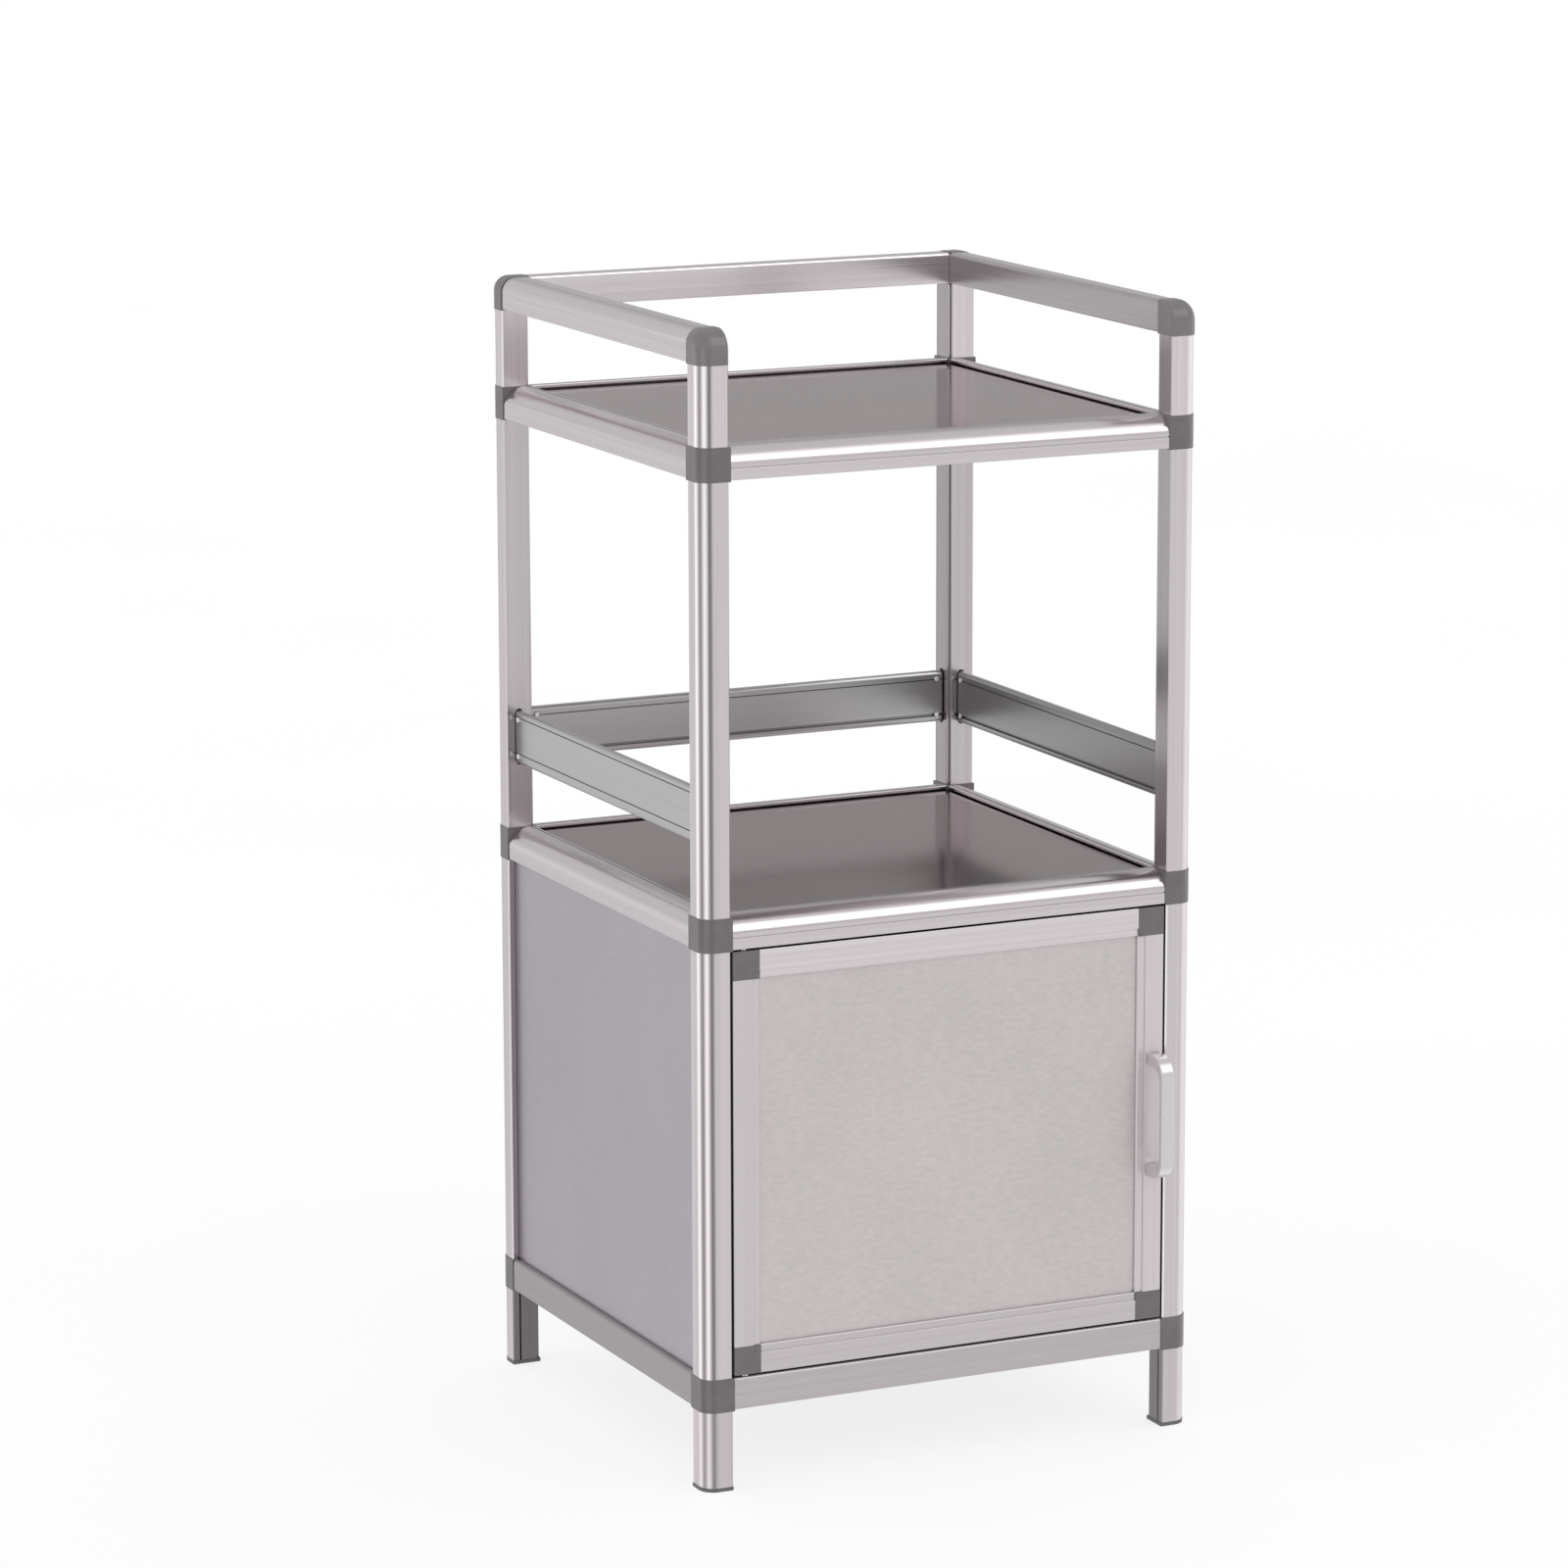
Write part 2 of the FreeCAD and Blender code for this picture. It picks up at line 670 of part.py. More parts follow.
def panels():
    """Side and back panels, held by two posts, the base rail and the lower shelf rail."""
    half_post = d.lower_post_length / 2
    middle_z = base_z + d.joint_height + half_post
    lift = rail_lift / 2
    rise = (half_post - lift - d.panel_play, half_post + lift + d.rail_slot - d.panel_play)
    inset = d.slot_inset + d.slot_play / 2
    notch = d.joint_lap + d.panel_play
    run = (span_y / 2 - notch, span_y / 2 + d.post_slot - d.panel_play)
    sizes = ((run[0], rise[0]), (run[1], rise[1]))
    left = cross_plate("side_panel_left", "YZ_Plane", *sizes, d.sheet)
    place(left, inset - half_width, middle_y, middle_z + lift)
    right = cross_plate("side_panel_right", "YZ_Plane", *sizes, d.sheet)
    place(right, half_width - inset - d.sheet, middle_y, middle_z + lift)
    run = (span_x / 2 - notch, span_x / 2 + d.post_slot - d.panel_play)
    sizes = ((run[0], rise[0]), (run[1], rise[1]))
    back = cross_plate("back_panel", "XZ_Plane", *sizes, d.sheet)
    place(back, ZERO, back_y - inset, middle_z + lift)


# Guard boards

def face_holes(body, places, radius, depth):
    """Fastener holes through a piece in its own frame, given as pairs of run and height."""
    sketch = new_sketch(body, "XZ_Plane")
    for run, height in places:
        add_circle(sketch, run, height, radius)
    bore(body, sketch, depth)


def screw(label, shank, length, head, dome):
    """A round-headed screw along +Z with the underside of its head at zero."""
    body = new_body(label)
    sketch = new_sketch(body, "XY_Plane", -dome)
    add_circle(sketch, 0, 0, head / 2)
    cap = pad(body, sketch, dome)
    low = -dome.value / 2
    rounding(body, cap, lambda p: p.z < low, dome / 2)
    sketch = new_sketch(body, "XY_Plane", -dome / 2)
    add_circle(sketch, 0, 0, shank / 2)
    pad(body, sketch, dome / 2 + length)
    return body


def rivet(label, grip):
    """A rivet along +Z, with a domed head on both sides of what it grips."""
    body = screw(label, d.rivet, grip, d.rivet_head, d.rivet_dome)
    sketch = new_sketch(body, "XY_Plane", grip)
    add_circle(sketch, 0, 0, d.rivet_head / 2)
    cap = pad(body, sketch, d.rivet_dome)
    high = grip.value + d.rivet_dome.value / 2
    rounding(body, cap, lambda p: p.z > high, d.rivet_dome / 2)
    return body


def guard_boards():
    """Three boards between the upper posts, each held by a plug and two rivets at both ends."""
    low_z = lower_z + d.joint_height + d.board_rise
    end = d.plug_wall + d.panel_play
    hole = d.rivet / 2 + d.screw_play
    rise = (d.board_height - d.rivet_pitch) / 2
    heights = (rise, rise + d.rivet_pitch)
    plugs, rivets = [], []
    for side in ("left", "right", "back"):
        length = SPANS[side] - 2 * end
        body = guard_board(f"guard_board_{side}", length)
        near = d.rivet_inset - end
        runs = (near, length - near)
        face_holes(body, [(run, h) for run in runs for h in heights], hole, d.post_side)
        place(body, *on_side(side, end, ZERO), low_z, TURNS[side])
        keep(body)
        for far in (False, True):
            run = SPANS[side] if far else ZERO
            flip = FreeCAD.Rotation(INWARD, 180) if far else None
            label = f"{side}_{'far' if far else 'near'}"
            plug = end_plug(f"plug_{label}", [(d.rivet_inset, h) for h in heights], hole)
            level = low_z + d.board_height if far else low_z
            place(plug, *on_side(side, run, ZERO), level, TURNS[side], flip)
            plugs.append(plug)
            run = run - d.rivet_inset if far else d.rivet_inset
            for number, height in enumerate(heights):
                item = rivet(f"rivet_{label}_{number}", d.board_thick)
                outward = FreeCAD.Rotation(ALONG, 90)
                place(item, *on_side(side, run, board_inner), low_z + height, TURNS[side], outward)
                rivets.append(item)
    keep_group("guard_board_plugs", plugs)
    keep_group("guard_board_rivets", rivets)


def guard_board(label, length):
    """A hollow board with rounded long edges, lines on both faces and a slot on its inner face."""
    outer, inner, top, line = d.board_inset, board_inner, d.board_height, d.board_line
    slot, bead = d.board_slot_rise, top - d.board_bead
    brow, foot = top - d.board_brow, d.board_foot
    steps = [outer, 0]
    steps += [inner, slot, inner - d.board_slot_depth, slot + d.board_slot]
    steps += [inner, bead - line, inner - d.board_line_depth, bead]
    steps += [inner, top]
    for edge in (brow, foot):
        steps += [outer, edge, outer + d.board_line_depth, edge - line]
    half = len(steps) // 2
    body = new_body(label)
    sketch = new_sketch(body, "YZ_Plane")
    add_outline(sketch, steps, {i: d.board_round for i in (0, 1, half, half + 1)})
    wall = d.board_wall
    hollow = [outer + wall, wall, inner - wall, top - wall]
    add_outline(sketch, hollow, {i: d.board_round - wall for i in range(4)})
    pad(body, sketch, length)
    return body


def end_plug(label, spots, hole):
    """A plug: a plate on the post behind the board's end and a tongue in the hollow board."""
    rim = d.plug_rim
    body = new_body(label)
    sketch = new_sketch(body, "YZ_Plane")
    outline = [d.board_inset + d.plug_inset, -rim, board_inner - d.plug_inset, d.board_height + rim]
    add_outline(sketch, outline, {i: d.plug_round for i in range(4)})
    pad(body, sketch, d.plug_wall)
    inset = d.board_wall + d.panel_play
    sketch = new_sketch(body, "XY_Plane", (d.board_height - d.plug_height) / 2)
    add_outline(sketch, [0, d.board_inset + inset, d.plug_reach, board_inner - inset])
    pad(body, sketch, d.plug_height)
    face_holes(body, spots, hole, d.post_side)
    return body


# Door

def quarter_turns():
    """The door's four corners in turn, each with the quarter turn that faces its two edges inward."""
    right, top = door_x + door_width, door_z + door_height
    corners = ((door_x, door_z), (door_x, top), (right, top), (right, door_z))
    return [(x, z, FreeCAD.Rotation(INWARD, 90 * i)) for i, (x, z) in enumerate(corners)]


def frame_bar(label, length):
    """Door profile: u runs inward from the door's edge and v backward from its face."""
    slot_back = d.door_panel_inset + d.door_sheet + d.slot_play
    steps = [0, 0, d.stile_flat, d.bead_inset]
    steps += [d.door_border, d.door_panel_inset, d.door_border - d.door_slot, slot_back]
    steps += [d.door_border - d.back_step, d.door_thick]
    rounds = {i: d.edge_round for i in (0, 1, 8, 9)}
    rounds[3] = d.bead_round
    body = new_body(label)
    sketch = new_sketch(body, "XY_Plane")
    add_outline(sketch, steps, rounds)
    add_outline(sketch, [d.door_wall, d.door_wall, door_inside, door_back])
    pad(body, sketch, length)
    return body


def door_frame():
    upright = door_height - 2 * d.door_border
    level = door_width - 2 * d.door_border
    names = ("door_hinge_stile", "door_top_rail", "door_handle_stile", "door_bottom_rail")
    lengths = (upright, level, upright, level)
    shifts = ((0, 1), (1, 0), (0, -1), (-1, 0))
    for name, length, shift, (x, z, turn) in zip(names, lengths, shifts, quarter_turns()):
        body = frame_bar(name, length)
        if name == "door_handle_stile":
            ends = ((length - handle_span) / 2, (length + handle_span) / 2)
            hole = d.handle_screw / 2 + d.screw_play
            spots = [(d.stile_flat / 2, end) for end in ends]
            face_holes(body, spots, hole, d.door_thick)
        place(body, x + d.door_border * shift[0], front_y, z + d.door_border * shift[1], tilt=turn)
        keep(body)


def door_corner_blocks():
    """Moulded corners; the two at the hinge side are bored for the pivot pins."""
    names = ("bottom_left", "top_left", "top_right", "bottom_right")
    low, high = d.door_wall + d.spigot_play, door_inside - d.spigot_play
    back = door_back - d.spigot_play
    middle = d.door_border / 2
    bead_middle = (d.stile_flat + d.door_border) / 2
    rise = -d.button_rise.value / 2
    hole = d.pin_diameter / 2 + d.pin_play
    depth = d.pin_reach + d.collar_play
    bodies = []
    for name, (x, z, turn) in zip(names, quarter_turns()):
        body = new_body(f"door_corner_{name}")
        sketch = new_sketch(body, "XZ_Plane")
        rounds = {i: d.edge_round for i in (0, 1, 2, 3)}
        add_outline(sketch, [0, 0, d.door_border, d.door_border], rounds)
        pad(body, sketch, d.door_thick, backwards=True)
        sketch = new_sketch(body, "XZ_Plane")
        add_circle(sketch, bead_middle, bead_middle, d.button / 2)
        button = pad(body, sketch, d.button_rise)
        rounding(body, button, lambda p: p.y < rise, d.button_edge)
        sketch = new_sketch(body, "XY_Plane", middle)
        add_outline(sketch, [low, low, high, back])
        pad(body, sketch, middle + d.spigot_length)
        sketch = new_sketch(body, "YZ_Plane", middle)
        add_outline(sketch, [low, low, back, high])
        pad(body, sketch, middle + d.spigot_length)
        if name == "bottom_left":
            sketch = new_sketch(body, "XY_Plane")
            add_circle(sketch, d.pivot_inset, d.pivot_setback, hole)
            bore(body, sketch, depth, backwards=True)
        if name == "top_left":
            sketch = new_sketch(body, "YZ_Plane")
            add_circle(sketch, d.pivot_setback, d.pivot_inset, hole)
            bore(body, sketch, depth, backwards=True)
        place(body, x, front_y, z, tilt=turn)
        bodies.append(body)
    keep_group("door_corner_blocks", bodies)


def door_panel():
    edge = d.door_border + d.panel_play
    reach = d.door_border - d.door_slot + d.panel_play
    inner = (door_width / 2 - edge, door_height / 2 - edge)
    outer = (door_width / 2 - reach, door_height / 2 - reach)
    body = cross_plate("door_panel", "XZ_Plane", inner, outer, d.door_sheet, backwards=True)
    place(body, door_x + door_width / 2, front_y + d.door_panel_inset, door_z + door_height / 2)


def pivot_pins():
    """Two pins fixed in the front rails; their collars take the door's weight."""
    collar = d.door_gap - d.collar_play
    x = door_x + d.pivot_inset
    y = front_y + d.pivot_setback
    bottom, top = door_z - d.door_gap, door_z + door_height + d.door_gap
    bodies = []
    for name, z, turn in (("bottom", bottom, 0), ("top", top, 180)):
        body = new_body(f"pivot_pin_{name}")
        sketch = new_sketch(body, "XY_Plane", -d.pin_stake)
        add_circle(sketch, 0, 0, d.pin_diameter / 2)
        pad(body, sketch, d.pin_stake + d.door_gap + d.pin_reach)
        sketch = new_sketch(body, "XY_Plane")
        add_circle(sketch, 0, 0, d.pin_collar / 2)
        pad(body, sketch, collar)
        place(body, x, y, z, tilt=FreeCAD.Rotation(ALONG, turn))
        bodies.append(body)
    keep_group("door_pivot_pins", bodies)


def door_handle():
    """A bent pull handle and the two screws that hold it from behind the stile."""
    reach, height = d.handle_reach, d.handle_height
    grip = d.handle_bar - reach
    body = new_body("door_handle")
    sketch = new_sketch(body, "YZ_Plane")
    steps = [-reach, 0, 0, d.handle_leg, grip, height - d.handle_leg, 0, height]
    rounds = {0: d.handle_round, 7: d.handle_round}
    rounds.update({3: d.handle_inner_round, 4: d.handle_inner_round})
    add_outline(sketch, steps, rounds)
    bar = pad(body, sketch, d.handle_width)
    half = d.handle_width.value / 2
    rounding(body, bar, lambda p: abs(p.x - half) > half / 2 and p.y < 0, d.handle_edge)
    hole = d.handle_screw / 2 + d.screw_play
    sketch = new_sketch(body, "XZ_Plane")
    heights = (d.handle_leg / 2, height - d.handle_leg / 2)
    for spot in heights:
        add_circle(sketch, d.handle_width / 2, spot, hole)
    bore(body, sketch, d.handle_screw_reach + d.screw_play, backwards=True)
    x = door_x + door_width - d.stile_flat / 2
    z = door_z + (door_height - height) / 2
    place(body, x - d.handle_width / 2, front_y, z)
    keep(body)
    screws = []
    for number, spot in enumerate(heights):
        length = d.door_thick + d.handle_screw_reach
        item = screw(f"handle_screw_{number}", d.handle_screw, length,
                     d.handle_screw_head, d.handle_screw_dome)
        forward = FreeCAD.Rotation(ALONG, 90)
        place(item, x, front_y + d.door_thick, z + spot, tilt=forward)
        screws.append(item)
    keep_group("handle_screws", screws)


def door_catch():
    """A magnetic catch under the lower shelf's front rail and its strike on the door."""
    right = half_width - d.post_side - d.catch_offset
    roof = lower_z + rail_lift
    strike_y = front_y + d.door_thick
    catch = new_body("door_catch")
    sketch = new_sketch(catch, "XY_Plane")
    rounds = {i: d.edge_round for i in range(4)}
    add_outline(sketch, [0, 0, d.catch_width, d.catch_depth], rounds)
    pad(catch, sketch, d.catch_height)
    catch_y = strike_y + d.strike_sheet + d.catch_play
    place(catch, right - d.catch_width, catch_y, roof - d.catch_height)
    keep(catch)
    strike = new_body("door_strike")
    sketch = new_sketch(strike, "XZ_Plane")
    add_outline(sketch, [0, 0, d.strike_width, d.strike_height], rounds)
    pad(strike, sketch, d.strike_sheet, backwards=True)
    side_margin = (d.catch_width - d.strike_width) / 2
    end_margin = (d.catch_height - d.strike_height) / 2
    spot_z = roof - d.catch_height + end_margin - d.door_gap
    place(strike, right - d.catch_width + side_margin, strike_y, spot_z)
    keep(strike)


def check_and_export():
    """Refuse a failed or empty shape, then write every sub-part."""
    doc.recompute()
    for item in doc.Objects:
        if "Invalid" in item.State or "Error" in item.State:
            raise RuntimeError(f"{item.Label}: {item.State}")
    for item in parts:
        if item.Shape.isNull() or not item.Shape.isValid():
            raise RuntimeError(f"{item.Label}: bad shape")
    os.makedirs("parts", exist_ok=True)
    for item in parts:
        item.Shape.exportStep(os.path.join("parts", f"{item.Label}.step"))
    print(f"{len(parts)} sub-parts, {sum(len(item.Shape.Solids) for item in parts)} solids")


foot_caps()
keep_group("legs", posts("leg", d.leg_length, d.foot_flange, slotted=True))
keep_group("base_joints", joints("base_joint", base_z))
for item in posts("lower_post", d.lower_post_length, base_z + d.joint_height, slotted=True):
    keep(item)
for item in joints("lower_shelf_joint", lower_z):
    keep(item)
for item in posts("upper_post", d.upper_post_length, lower_z + d.joint_height, slotted=False):
    keep(item)
for item in joints("upper_shelf_joint", upper_z):
    keep(item)
keep_group("top_posts", posts("top_post", d.top_post_length, upper_z + d.joint_height, slotted=False))
top_joints()
rails()
shelf("cabinet_floor", base_z)
shelf("lower_shelf", lower_z)
shelf("upper_shelf", upper_z)
panels()
guard_boards()
door_frame()
door_corner_blocks()
door_panel()
pivot_pins()
door_handle()
door_catch()
check_and_export()
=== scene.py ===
import functools
import json
import math

import bpy
from mathutils import Matrix, Vector

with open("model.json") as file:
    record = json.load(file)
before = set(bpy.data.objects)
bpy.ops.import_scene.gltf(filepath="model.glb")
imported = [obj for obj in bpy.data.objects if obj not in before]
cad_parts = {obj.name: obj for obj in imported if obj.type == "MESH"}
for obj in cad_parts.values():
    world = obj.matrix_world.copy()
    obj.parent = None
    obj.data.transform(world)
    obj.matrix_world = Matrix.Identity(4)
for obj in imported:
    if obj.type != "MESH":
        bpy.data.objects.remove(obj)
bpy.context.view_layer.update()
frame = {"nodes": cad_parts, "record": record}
nodes = frame["nodes"]
scene = bpy.context.scene

# Which way a profile was drawn, by the words in its node's name
DRAWN_ALONG = {
    "X": ("rail_front", "rail_back", "guard_board_back", "door_top_rail", "door_bottom_rail"),
    "Y": ("rail_left", "rail_right", "guard_board_left", "guard_board_right"),
    "Z": ("post", "leg", "stile"),
}

# The profiles' look, by how their nodes' names start: how light it is, where the differences between
# nodes of one extrusion are painted light and shade; how much of that is left on faces that look in
# towards the middle of the object along x and y, which is painted shade; how metallic it is; and its
# roughness. The first entry that fits is taken, and the last one fits all the rest.
SATIN = (0.17, 0.27)
DULL = (0.28, 0.36)
EVEN = (1.0, 1.0)
PROFILES = {
    "legs": (1.0, (0.3, 0.3), 1.0, DULL),
    "base_rail_left": (0.5, EVEN, 0.5, SATIN),
    "base_rail_right": (0.5, EVEN, 0.5, SATIN),
    "base": (0.68, EVEN, 0.5, SATIN),
    "door_top_rail": (0.92, EVEN, 0.5, SATIN),
    "door_handle_stile": (0.88, EVEN, 0.5, SATIN),
    "door_bottom_rail": (0.76, EVEN, 0.5, SATIN),
    "door": (0.81, EVEN, 0.5, SATIN),
    "top_rail_back": (1.14, EVEN, 1.0, SATIN),
    "top_rail": (1.06, (0.62, 1.0), 1.0, SATIN),
    "top_posts": (1.14, (0.56, 1.0), 1.0, SATIN),
    "upper_post": (1.06, (0.57, 0.85), 1.0, SATIN),
    "": (1.06, EVEN, 1.0, SATIN),
}
# Painted shade on the guard boards: how much of their colour is left on faces that look in towards the
# middle along x and y
BOARD_INNER_SHADE = (0.64, 1.0)
# Place in metres times normal, along x or y, for the painted shade on inner faces: at the first value
# and below it a face looks inwards, and at the second and above it doesn't
INWARDS = (-0.15, -0.05)

# Features per metre: along and across the drawing lines of profiles and boards, and then all round
# for the other finishes
FINE_LINES = (2.0, 1400.0)
BROAD_BANDS = (1.0, 260.0)
BOARD_LINES = (2.0, 700.0)
SHEET_CLOUDS = 7.0
PLASTIC_PEBBLES = 2200.0
PLASTIC_CLOUDS = 60.0
LACQUER_FLAKES = 4000.0
PLATING_GRAIN = 500.0
FLOOR_CLOUDS = 0.8

# What the darkest bands of a profile and clouds of a sheet leave of its colour
BAND_SHADE = 0.93
CLOUD_SHADE = 0.95

# Roughness of the guard boards, the handle and the plated fittings
BOARD_GLOSS = (0.28, 0.31)
LACQUER_GLOSS = (0.22, 0.32)
PLATING_GLOSS = (0.08, 0.18)

# Bump heights in metres
LINE_HEIGHT = 4e-6
BOARD_LINE_HEIGHT = 1e-6
PEBBLE_HEIGHT = 1.2e-5
FLAKE_HEIGHT = 3e-6
PLATING_HEIGHT = 6e-6

# How much of a colour is left under the painted shade in a seam, of bare metal and then of plastic
# and lacquer, and from how far in metres the painted shade darkens it
METAL_SEAM_SHADE = 0.03
COATED_SEAM_SHADE = 0.1
PROFILE_REACH = 0.0045
BOARD_REACH = 0.003
SHEET_REACH = 0.0035
SHELF_REACH = 0.0012
HANDLE_REACH = 0.004
SMALL_REACH = 0.002

# Radius in metres that edges are softened by
JOINT_EDGE = 0.0006
SMALL_EDGE = 0.0003

CREVICE_SAMPLES = 8
EDGE_SAMPLES = 4

# Parts of a noise texture's range that it mostly stays in
MIDDLE = (0.3, 0.7)
NARROW_MIDDLE = (0.35, 0.65)

WHITE = (1.0, 1.0, 1.0)

# Places of the Mix node's sockets for colours
MIX_SHARE, MIX_FIRST, MIX_SECOND = 0, 6, 7
MIX_RESULT = 2

# Brightness of the studio round the object, by azimuth in degrees from the front towards the left:
# one ring of screens at the horizon, and one of walls above it
SCREENS = (
    (-180, 0.60), (-140, 0.58), (-105, 0.95), (-65, 0.98), (-42, 0.64), (-25, 0.72), (-10, 0.74),
    (3, 0.40), (15, 0.14), (28, 0.34), (48, 1.2), (62, 1.2), (78, 0.42), (91, 0.26), (106, 0.5),
    (126, 1.3), (140, 1.2), (155, 0.62), (180, 0.60),
)
WALLS = (
    (-180, 0.60), (-168, 0.46), (-155, 0.38), (-140, 0.42), (-110, 0.55), (-60, 0.50), (-25, 0.50),
    (0, 0.55), (60, 0.85), (120, 0.70), (150, 0.62), (180, 0.60),
)
CEILING = 0.6
# Heights on the unit sphere where the walls and the ceiling start and are complete
WALLS_RISE = (0.0, 0.3)
CEILING_RISE = (0.55, 0.85)
# The soft box: its brightness, its direction, and the cosines of the angles where it starts and is full
SOFT_BOX = 1.8
SOFT_BOX_AT = (0.416, -0.616, 0.669)
SOFT_BOX_EDGE = (0.905, 0.965)
# What lights diffuse surfaces, and what the camera sees behind the object
FILL = 1.1
BACKDROP = 0.98

FLOOR_SIZE = 120.0
FLOOR_GLOW = 0.8
FLOOR_TONES = (0.155, 0.17)

# The photo's view: place in metres, then azimuth, pitch and roll in degrees, and the lens in mm
CAMERA_AT = (-2.2106, -4.5643, 1.5645)
CAMERA_ANGLES = (25.26, 11.45, 0.14)
LENS = 140.24
SENSOR_WIDTH = 36.0


def thrice(value):
    """The same value for red, green and blue, or for x, y and z."""
    return (value, value, value)


def add(tree, kind, values=None, **settings):
    """A new shader node with its settings and its socket values."""
    item = tree.nodes.new(kind)
    for name, value in settings.items():
        setattr(item, name, value)
    for socket, value in (values or {}).items():
        item.inputs[socket].default_value = value
    return item


def join(tree, source, target, socket, output=0):
    """A link from one node's output to another node's socket."""
    tree.links.new(source.outputs[output], target.inputs[socket])


def new_material(name, **values):
    """A material and its main shader, with constant values set on the shader's own sockets."""
    material = bpy.data.materials.new(name)
    material.use_nodes = True
    shader = material.node_tree.nodes["Principled BSDF"]
    for socket, value in values.items():
        shader.inputs[socket.replace("_", " ")].default_value = value
    return material, material.node_tree, shader


def noise(tree, scale, detail=3.0, roughness=0.55):
    """Noise in the part's own metres, with a number of features per metre along x, y and z."""
    place = add(tree, "ShaderNodeTexCoord")
    stretch = add(tree, "ShaderNodeMapping", {"Scale": scale})
    settings = {"Scale": 1.0, "Detail": detail, "Roughness": roughness}
    texture = add(tree, "ShaderNodeTexNoise", settings)
    join(tree, place, stretch, "Vector", "Object")
    join(tree, stretch, texture, "Vector")
    return texture


def spread(tree, source, low, high, inside=MIDDLE):
    """The source's range turned into another one."""
    limits = {"From Min": inside[0], "From Max": inside[1], "To Min": low, "To Max": high}
    item = add(tree, "ShaderNodeMapRange", limits)
    join(tree, source, item, "Value")
    return item


def two_tone(tree, source, dark, light, inside=MIDDLE):
    """A colour that goes from dark to light as the source goes through a range."""
    ramp = add(tree, "ShaderNodeValToRGB")
    for stop, place, colour in zip(ramp.color_ramp.elements, inside, (dark, light)):
        stop.position = place
        stop.color = (*colour, 1.0)
    join(tree, source, ramp, "Fac")
    return ramp.outputs["Color"]


def multiplied(tree, colour, shade):
    """One colour socket times another."""
    item = add(tree, "ShaderNodeMix", data_type="RGBA", blend_type="MULTIPLY")
    item.inputs[MIX_SHARE].default_value = 1.0
    tree.links.new(colour, item.inputs[MIX_FIRST])
    tree.links.new(shade, item.inputs[MIX_SECOND])
    return item.outputs[MIX_RESULT]


def relief(tree, shader, source, height, rounding=0.0):
    """Bump of the given height in metres, on edges softened by the given radius."""
    bump = add(tree, "ShaderNodeBump", {"Strength": 1.0, "Distance": height})
    join(tree, source, bump, "Height")
    if rounding:
        soft = add(tree, "ShaderNodeBevel", {"Radius": rounding}, samples=EDGE_SAMPLES)
        join(tree, soft, bump, "Normal")
    join(tree, bump, shader, "Normal")


def painted_seam_shade(tree, colour, reach, depth, inside=(0.15, 0.62)):
    """The colour with painted shade where other surfaces lie within reach, as in a seam or groove."""
    near = add(tree, "ShaderNodeAmbientOcclusion", {"Distance": reach}, samples=CREVICE_SAMPLES)
    return multiplied(tree, colour, two_tone(tree, near, thrice(depth), WHITE, inside))


def paint_inner_shade(tree, colour, left):
    """The colour with painted shade on faces that look in towards the middle along x and y."""
    for axis, depth in zip(((1.0, 0.0, 0.0), (0.0, 1.0, 0.0)), left):
        if depth == 1.0:
            continue
        place = add(tree, "ShaderNodeNewGeometry")
        level = add(tree, "ShaderNodeVectorMath", {1: axis}, operation="MULTIPLY")
        join(tree, place, level, 0, "Position")
        outward = add(tree, "ShaderNodeVectorMath", operation="DOT_PRODUCT")
        join(tree, level, outward, 0)
        join(tree, place, outward, 1, "Normal")
        limits = {"From Min": INWARDS[0], "From Max": INWARDS[1]}
        share = add(tree, "ShaderNodeMapRange", limits)
        join(tree, outward, share, "Value", "Value")
        colour = multiplied(tree, colour, two_tone(tree, share, thrice(depth), WHITE, (0.0, 1.0)))
    return colour


def stretched(axis, along, across):
    """Features per metre along x, y and z for lines drawn along one axis."""
    return [along if name == axis else across for name in "XYZ"]


@functools.cache
def aluminium(kind, axis):
    """Satin anodised extrusion with fine drawing lines along one axis."""
    tone, inside, metal, gloss = PROFILES[kind]
    material, tree, shader = new_material(f"{kind or 'profile'}_{axis.lower()}", Metallic=metal)
    lines = noise(tree, stretched(axis, *FINE_LINES))
    bands = noise(tree, stretched(axis, *BROAD_BANDS), detail=1.0)
    # The tone makes some nodes of the one extrusion lighter or darker: painted light and shade
    dark = [tone * part for part in (0.77, 0.717, 0.734)]
    light = [tone * part for part in (0.825, 0.768, 0.786)]
    fine = two_tone(tree, lines, dark, light)
    broad = two_tone(tree, bands, thrice(BAND_SHADE), WHITE)
    # Painted shade in seams, gaps and grooves
    with_seam_shade = painted_seam_shade(tree, multiplied(tree, fine, broad), PROFILE_REACH, METAL_SEAM_SHADE)
    # Painted shade on faces that look in towards the middle along x and y
    tree.links.new(paint_inner_shade(tree, with_seam_shade, inside), shader.inputs["Base Color"])
    join(tree, spread(tree, lines, *gloss), shader, "Roughness")
    relief(tree, shader, lines, LINE_HEIGHT)
    return material


@functools.cache
def smooth_board(axis):
    """The guard boards' even, neutral satin skin."""
    material, tree, shader = new_material(f"board_aluminium_{axis.lower()}", Metallic=1.0)
    lines = noise(tree, stretched(axis, *BOARD_LINES), detail=2.0)
    skin = two_tone(tree, lines, dark=(0.585, 0.575, 0.577), light=(0.625, 0.615, 0.617))
    # Painted shade in seams, gaps and grooves
    with_seam_shade = painted_seam_shade(tree, skin, BOARD_REACH, METAL_SEAM_SHADE, inside=(0.4, 0.9))
    # Painted shade on faces that look in towards the middle along x and y
    tree.links.new(paint_inner_shade(tree, with_seam_shade, BOARD_INNER_SHADE), shader.inputs["Base Color"])
    join(tree, spread(tree, lines, *BOARD_GLOSS), shader, "Roughness")
    relief(tree, shader, lines, BOARD_LINE_HEIGHT)
    return material


